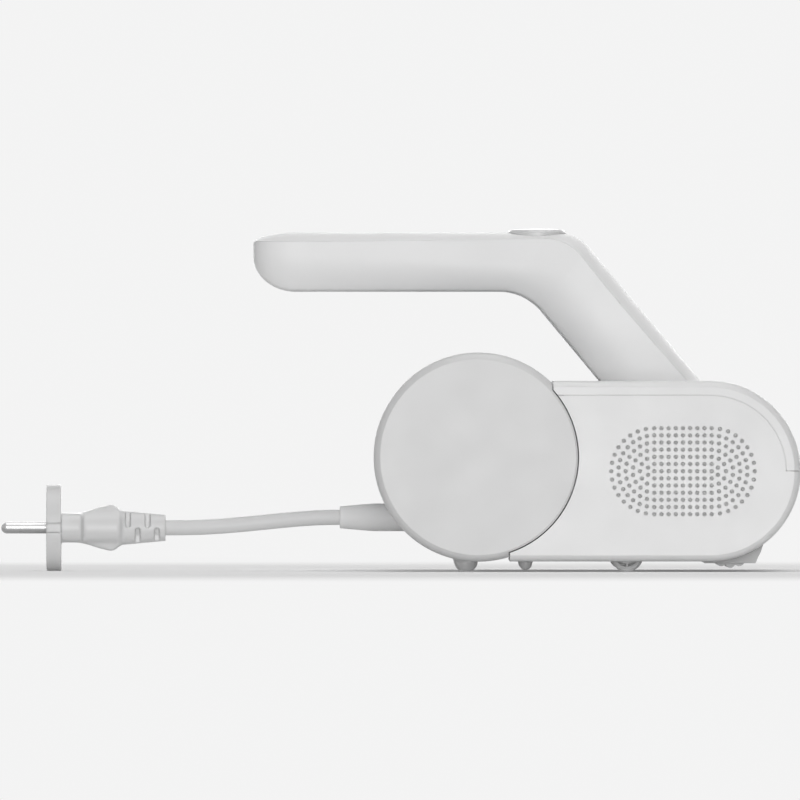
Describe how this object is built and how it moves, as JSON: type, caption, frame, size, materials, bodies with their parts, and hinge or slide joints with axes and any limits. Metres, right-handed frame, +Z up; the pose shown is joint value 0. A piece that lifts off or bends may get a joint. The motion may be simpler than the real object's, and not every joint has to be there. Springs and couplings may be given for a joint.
{
  "type": "handheld mattress vacuum cleaner",
  "caption": "Corded handheld mattress vacuum: flat-sided housing with a round nose, beater roller, lamp, drum dust cup with side filter, and a grip that runs back over the cup.",
  "frame": {"origin": "on the floor, below the middle of the object's length and width, lead and plug left out", "axes": "+X towards the round nose, +Y towards the side where the filter pulls out, +Z up"},
  "size_m": [0.3357, 0.21, 0.1441],
  "materials": {
    "white_shell": "fine satin moulding",
    "handle_white": "soft satin moulding",
    "drum_white": "fine satin moulding, a shade darker than the housing",
    "clear_cup": "smoke-clear moulding",
    "grey_moulding": "satin moulding",
    "inner_moulding": "plain inner moulding",
    "button_grey": "polished moulding",
    "glide": "hard glide plastic",
    "roller": "soft fluted sleeve",
    "wheel_grey": "satin moulding",
    "wheel_tyre": "soft grey tread",
    "seal": "soft seal rubber",
    "belt": "toothed drive belt",
    "boot": "soft moulded rubber",
    "cord_white": "smooth sheath",
    "plug_white": "moulded plug body",
    "plug_pin": "bright plated pin",
    "pin_steel": "turned",
    "spring_steel": "spring wire",
    "motor_steel": "rolled can",
    "impeller_metal": "pressed",
    "bush_brass": "sintered",
    "reflector": "polished sheet",
    "lamp_glass": "tube glass",
    "window": "clear window",
    "board": "coated laminate",
    "pulley": "filled moulding",
    "filter_paper": "pleated filter paper"
  },
  "bodies": {
    "housing": {"top_cover": "white_shell", "side_panel_right": "white_shell", "side_panel_left": "white_shell", "base_plate": "white_shell", "bay_wall": "grey_moulding", "rear_base": "white_shell", "rear_feet": "glide", "handle_shell": "handle_white", "handle_cover": "handle_white", "switch_board": "board", "suction_mouth": "grey_moulding", "suction_duct": "inner_moulding", "clean_duct": "inner_moulding", "port_seals": "seal", "fan_casing": "inner_moulding", "fan_motor": "motor_steel", "motor_mounts": "seal", "motor_cradle": "inner_moulding", "drive_plate": "inner_moulding", "roller_motor": "motor_steel", "roller_bushes": "bush_brass", "drive_belt": "belt", "wheel_axles": "pin_steel", "lamp_tube": "lamp_glass", "lamp_holders": "inner_moulding", "lamp_reflector": "reflector", "lamp_window": "window", "circuit_board": "board", "contact_switch": "inner_moulding", "cord_boot": "boot", "cord_clamp": "inner_moulding", "handle_screws": "pin_steel", "casing_screws": "pin_steel", "button_spring": "spring_steel", "release_spring": "spring_steel", "plunger_spring": "spring_steel", "power_cord": "cord_white", "plug_body": "plug_white", "plug_pins": "plug_pin"},
    "wheel_right": {"wheel_hub_right": "wheel_grey", "wheel_tyre_right": "wheel_tyre"},
    "wheel_left": {"wheel_hub_left": "wheel_grey", "wheel_tyre_left": "wheel_tyre"},
    "roller": {"brush_roller": "roller", "roller_shaft": "pin_steel", "roller_pulley": "pulley"},
    "drive": {"motor_pulley": "pin_steel"},
    "fan": {"impeller": "impeller_metal", "motor_shaft": "pin_steel"},
    "button": {"power_button": "button_grey"},
    "release": {"release_button": "button_grey"},
    "plunger": {"contact_plunger": "grey_moulding"},
    "cup": {"cup_barrel": "clear_cup", "cup_disc": "drum_white"},
    "filter": {"cap_disc": "drum_white", "cap_plug": "grey_moulding", "cap_seal": "seal", "filter_frame": "inner_moulding", "filter_pleats": "filter_paper"}
  },
  "joints": [
    {"name": "wheel_right_spin", "type": "hinge", "parent": "housing", "child": "wheel_right", "pos_m": [0.0421, -0.075, 0.007], "axis": [0, 1, 0], "continuous": true},
    {"name": "wheel_left_spin", "type": "hinge", "parent": "housing", "child": "wheel_left", "pos_m": [0.0421, 0.075, 0.007], "axis": [0, 1, 0], "continuous": true},
    {"name": "roller_spin", "type": "hinge", "parent": "housing", "child": "roller", "pos_m": [0.0854, 0, 0.0136], "axis": [0, 1, 0], "continuous": true},
    {"name": "drive_spin", "type": "hinge", "parent": "housing", "child": "drive", "pos_m": [0.092, 0, 0.052], "axis": [0, 1, 0], "continuous": true},
    {"name": "fan_spin", "type": "hinge", "parent": "housing", "child": "fan", "pos_m": [0.054, 0, 0.046], "axis": [0, 1, 0], "continuous": true},
    {"name": "button_press", "type": "slide", "parent": "housing", "child": "button", "axis": [0, 0, -1], "range_m": [0, 0.0012], "stiffness_N_per_m": 500, "springref_m": -0.003, "deforming": ["button_spring"]},
    {"name": "release_press", "type": "slide", "parent": "housing", "child": "release", "axis": [0, 0, -1], "range_m": [0, 0.002], "stiffness_N_per_m": 400, "springref_m": -0.003, "deforming": ["release_spring"]},
    {"name": "plunger_lift", "type": "slide", "parent": "housing", "child": "plunger", "axis": [0, 0, 1], "range_m": [0, 0.0024], "stiffness_N_per_m": 200, "springref_m": -0.003, "deforming": ["plunger_spring"]},
    {"name": "cup_pull", "type": "slide", "parent": "housing", "child": "cup", "axis": [-1, 0, 0], "range_m": [0, 0.11]},
    {"name": "filter_pull", "type": "slide", "parent": "cup", "child": "filter", "axis": [0, 1, 0], "range_m": [0, 0.115]}
  ],
  "couplings": [
    {"joint": "drive_spin", "follows": "roller_spin", "ratio": 1.6667}
  ]
}
